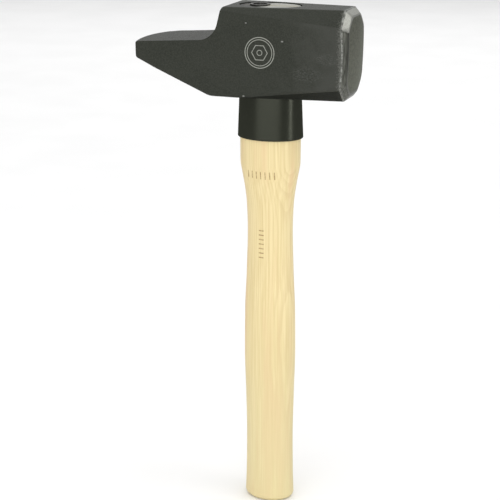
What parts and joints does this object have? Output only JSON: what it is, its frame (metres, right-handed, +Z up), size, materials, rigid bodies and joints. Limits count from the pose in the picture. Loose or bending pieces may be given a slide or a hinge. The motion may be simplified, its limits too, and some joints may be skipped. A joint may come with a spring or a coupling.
{
  "type": "cross peen hammer",
  "caption": "Cross peen hammer: forged head with an octagonal striking face and a wedge-shaped peen, on an oval hardwood handle with a short black sleeve below the head.",
  "frame": {"origin": "centre of the flat end of the handle's butt", "axes": "+Z up along the handle to the head, +X towards the striking face, Y through the cheeks"},
  "size_m": [0.1313, 0.0386, 0.3143],
  "materials": {
    "head": "dark lacquered forged steel with a ground face",
    "handle": "clear lacquered hickory",
    "sleeve": "black, slightly glossy",
    "wedge_wood": "bare hardwood",
    "ring": "plain steel"
  },
  "bodies": {
    "root": {"hammer_head": "head", "handle": "handle", "protective_sleeve": "sleeve", "wooden_wedge": "wedge_wood", "ring_wedge": "ring"}
  },
  "joints": []
}
